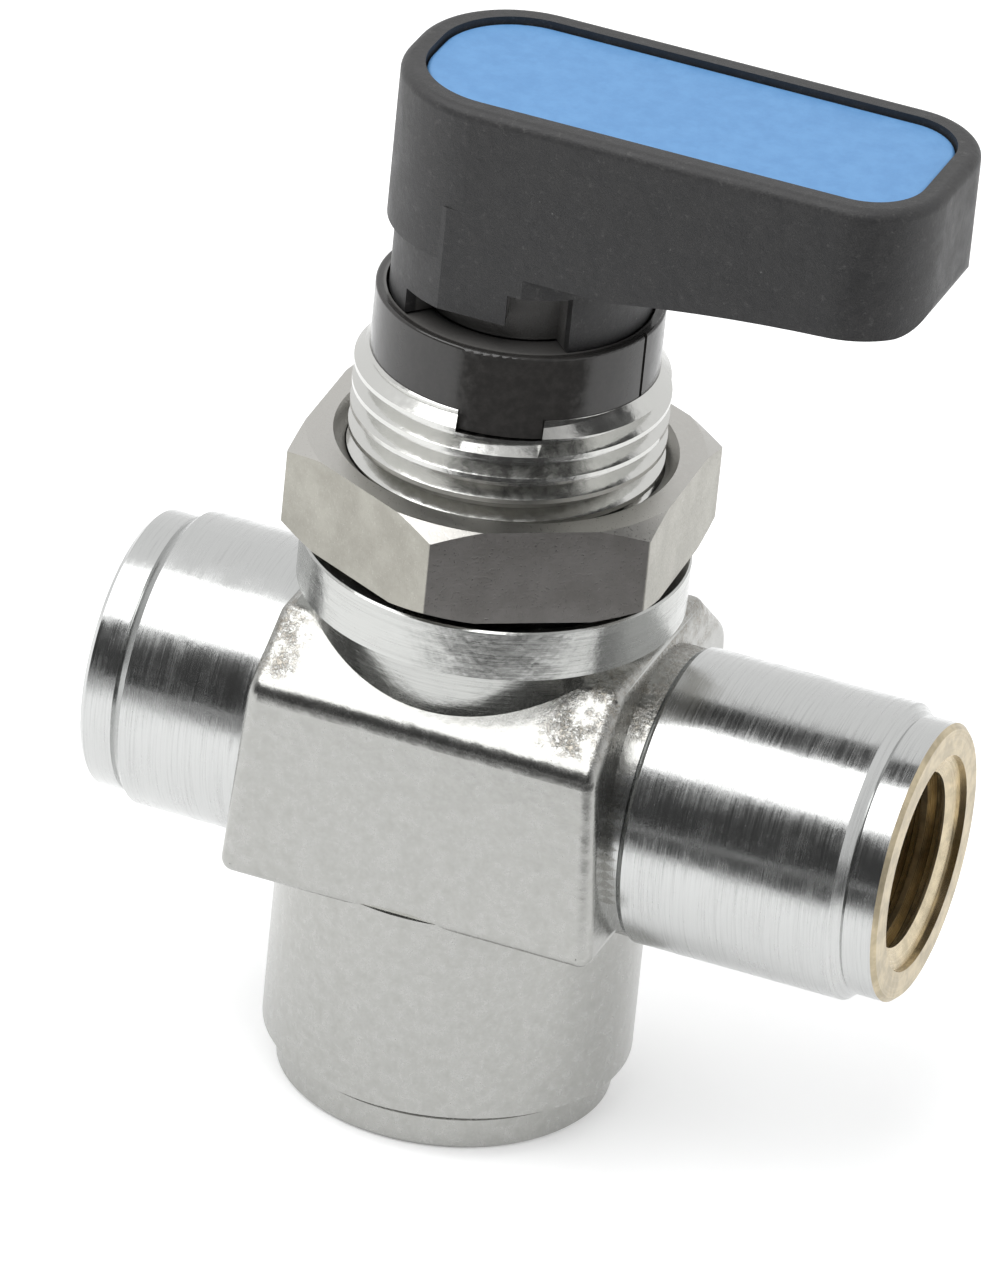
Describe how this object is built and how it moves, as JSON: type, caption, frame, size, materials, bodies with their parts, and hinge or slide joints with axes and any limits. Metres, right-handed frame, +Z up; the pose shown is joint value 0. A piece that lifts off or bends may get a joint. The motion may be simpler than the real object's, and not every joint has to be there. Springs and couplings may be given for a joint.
{
  "type": "three-way ball valve",
  "caption": "Small panel-mount ball valve with two side ports, a bottom port, a threaded neck with a hexagon nut, and a black lever with a blue cover.",
  "frame": {"origin": "centre of the bottom port's end face", "axes": "+Z up the stem, +X out of the screwed end connector, which the lever points to at rest; -Y is the front"},
  "size_m": [0.054, 0.0278, 0.0715],
  "materials": {
    "plated_brass": "chrome plated, blasted block and turned ports, bare brass inside the ports",
    "ball_chrome": "polished chrome plating",
    "stem_brass": "turned brass",
    "nut_metal": "tumbled nickel plating",
    "seat_plastic": "white fluoropolymer",
    "seal_rubber": "black nitrile",
    "ring_plastic": "glossy black nylon",
    "handle_plastic": "fine-grained black plastic",
    "cover_plastic": "satin blue plastic",
    "screw_steel": "zinc-plated steel"
  },
  "bodies": {
    "body": {"valve_body": "plated_brass", "end_connector": "plated_brass", "end_connector_o_ring": "seal_rubber", "seat_right": "seat_plastic", "seat_left": "seat_plastic", "seat_o_ring_right": "seal_rubber", "seat_o_ring_left": "seal_rubber", "stem_thrust_washer": "seat_plastic", "stem_bush": "seat_plastic", "stop_ring": "ring_plastic"},
    "lever": {"handle": "handle_plastic", "handle_cover": "cover_plastic", "handle_washer": "screw_steel", "handle_screw": "screw_steel", "stem": "stem_brass", "stem_o_ring_lower": "seal_rubber", "stem_o_ring_upper": "seal_rubber", "ball": "ball_chrome"},
    "nut": {"panel_nut": "nut_metal"}
  },
  "joints": [
    {"name": "lever_turn", "type": "hinge", "parent": "body", "child": "lever", "pos_m": [0, 0, 0.0238], "axis": [0, 0, 1], "range_deg": [0, 180]},
    {"name": "nut_travel", "type": "slide", "parent": "body", "child": "nut", "axis": [0, 0, 1], "range_m": [-0.0004, 0.006]}
  ]
}
